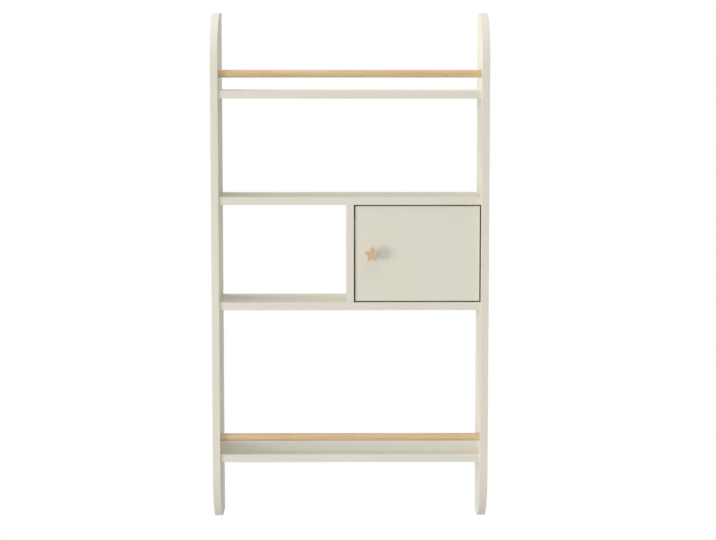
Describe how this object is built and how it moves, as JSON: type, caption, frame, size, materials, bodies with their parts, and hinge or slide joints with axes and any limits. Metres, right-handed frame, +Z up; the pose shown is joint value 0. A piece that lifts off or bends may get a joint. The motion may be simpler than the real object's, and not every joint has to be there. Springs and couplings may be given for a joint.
{
  "type": "wall shelf",
  "caption": "Tall narrow wall shelf of cream lacquered boards: sides with rounded front corners, open bays, round wooden guard rails and a small inset door with a wooden star knob.",
  "frame": {"origin": "on the wall plane, midway between the round holes of the two keyhole hangers", "axes": "+Z up, +X to the right as seen from the front, +Y into the wall, so the front faces -Y"},
  "size_m": [0.538, 0.163, 1],
  "materials": {
    "lacquered_board": "cream matt lacquer on board",
    "back_board": "cream lacquer on thin hardboard",
    "rail_wood": "pale natural wood, matt oil",
    "knob_wood": "natural wood, matt oil",
    "dowel_wood": "raw beech",
    "steel": "zinc-plated steel",
    "zinc": "die-cast zinc",
    "nylon": "dark brown nylon",
    "catch_plastic": "cream moulded plastic",
    "magnet": "ferrite"
  },
  "bodies": {
    "carcass": {"left_side_panel": "lacquered_board", "right_side_panel": "lacquered_board", "top_shelf": "lacquered_board", "cupboard_top_shelf": "lacquered_board", "cupboard_floor_shelf": "lacquered_board", "bottom_shelf": "lacquered_board", "cupboard_divider": "lacquered_board", "cupboard_back_panel": "back_board", "top_guard_rail": "rail_wood", "bottom_guard_rail": "rail_wood", "shelf_dowels": "dowel_wood", "divider_dowels": "dowel_wood", "catch_housing": "catch_plastic", "catch_magnet": "magnet", "lower_pivot_pin": "steel", "upper_pivot_pin": "steel", "catch_pole_plates": "steel", "catch_screws": "steel", "left_hanger_plate": "steel", "right_hanger_plate": "steel", "hanger_screws": "steel", "cam_bolts": "steel", "cam_discs": "zinc"},
    "door": {"door_panel": "lacquered_board", "lower_pivot_bush": "nylon", "upper_pivot_bush": "nylon", "star_knob": "knob_wood", "knob_spacer": "knob_wood", "knob_screw": "steel", "strike_plate": "steel", "strike_screw": "steel"}
  },
  "joints": [
    {"name": "door_swing", "type": "hinge", "parent": "carcass", "child": "door", "pos_m": [0.2335, -0.1345, -0.385], "axis": [0, 0, 1], "range_deg": [0, 110]}
  ]
}
